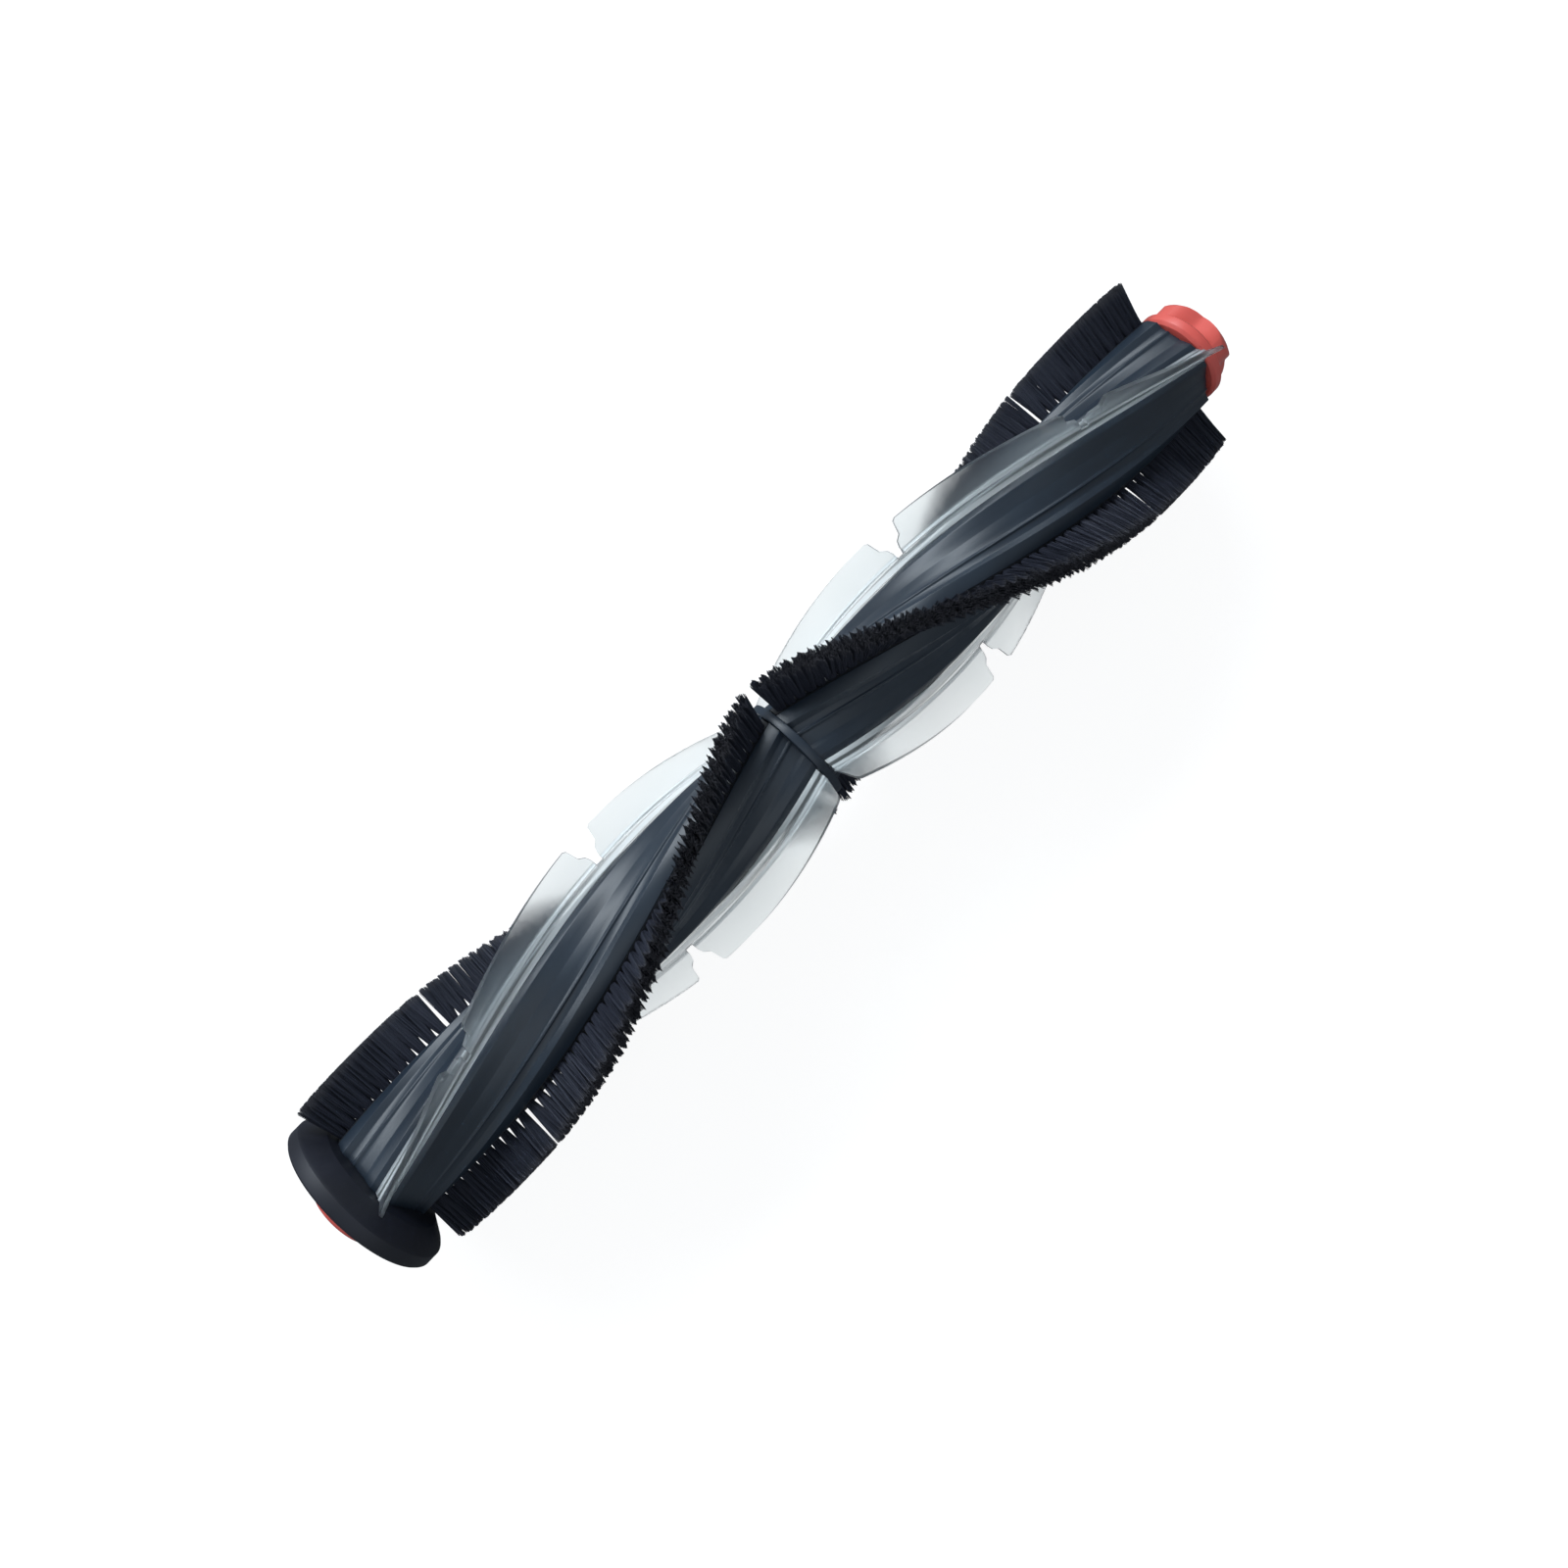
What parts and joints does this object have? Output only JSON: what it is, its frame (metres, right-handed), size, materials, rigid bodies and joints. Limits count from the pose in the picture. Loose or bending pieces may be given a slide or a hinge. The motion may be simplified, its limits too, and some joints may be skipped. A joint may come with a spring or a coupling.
{
  "type": "roller brush",
  "caption": "Robot vacuum roller brush: a spiral black core with white notched blades and black bristle rows in a chevron, a red drive plug and a red bearing cap.",
  "frame": {"origin": "on the brush's axis, at the middle of its overall length", "axes": "+X along the axis from the drive plug to the bearing cap, +Z towards the side that the picture shows"},
  "size_m": [0.275, 0.0456, 0.0456],
  "materials": {
    "core_black": "satin moulded plastic",
    "blade_silicone": "translucent white silicone, smooth",
    "spine_black": "satin extruded plastic",
    "bristle_nylon": "black nylon filament",
    "end_red": "satin moulded plastic, rounded edges",
    "shaft_steel": "ground steel",
    "washer_plastic": "plain low-friction plastic",
    "bush_bronze": "sintered bronze, oiled"
  },
  "bodies": {
    "roller": {"left_core": "core_black", "right_core": "core_black", "left_blade_a": "blade_silicone", "left_blade_b": "blade_silicone", "right_blade_a": "blade_silicone", "right_blade_b": "blade_silicone", "left_spine_a": "spine_black", "left_spine_b": "spine_black", "right_spine_a": "spine_black", "right_spine_b": "spine_black", "left_bristles_a": "bristle_nylon", "left_bristles_b": "bristle_nylon", "right_bristles_a": "bristle_nylon", "right_bristles_b": "bristle_nylon", "end_flange": "core_black", "drive_plug": "end_red", "shaft": "shaft_steel", "thrust_washer": "washer_plastic", "snap_ring": "shaft_steel"},
    "cap": {"bearing_cap": "end_red", "bearing_bush": "bush_bronze"}
  },
  "joints": [
    {"name": "cap_spin", "type": "hinge", "parent": "roller", "child": "cap", "pos_m": [0.132, 0, 0], "axis": [1, 0, 0], "continuous": true}
  ]
}
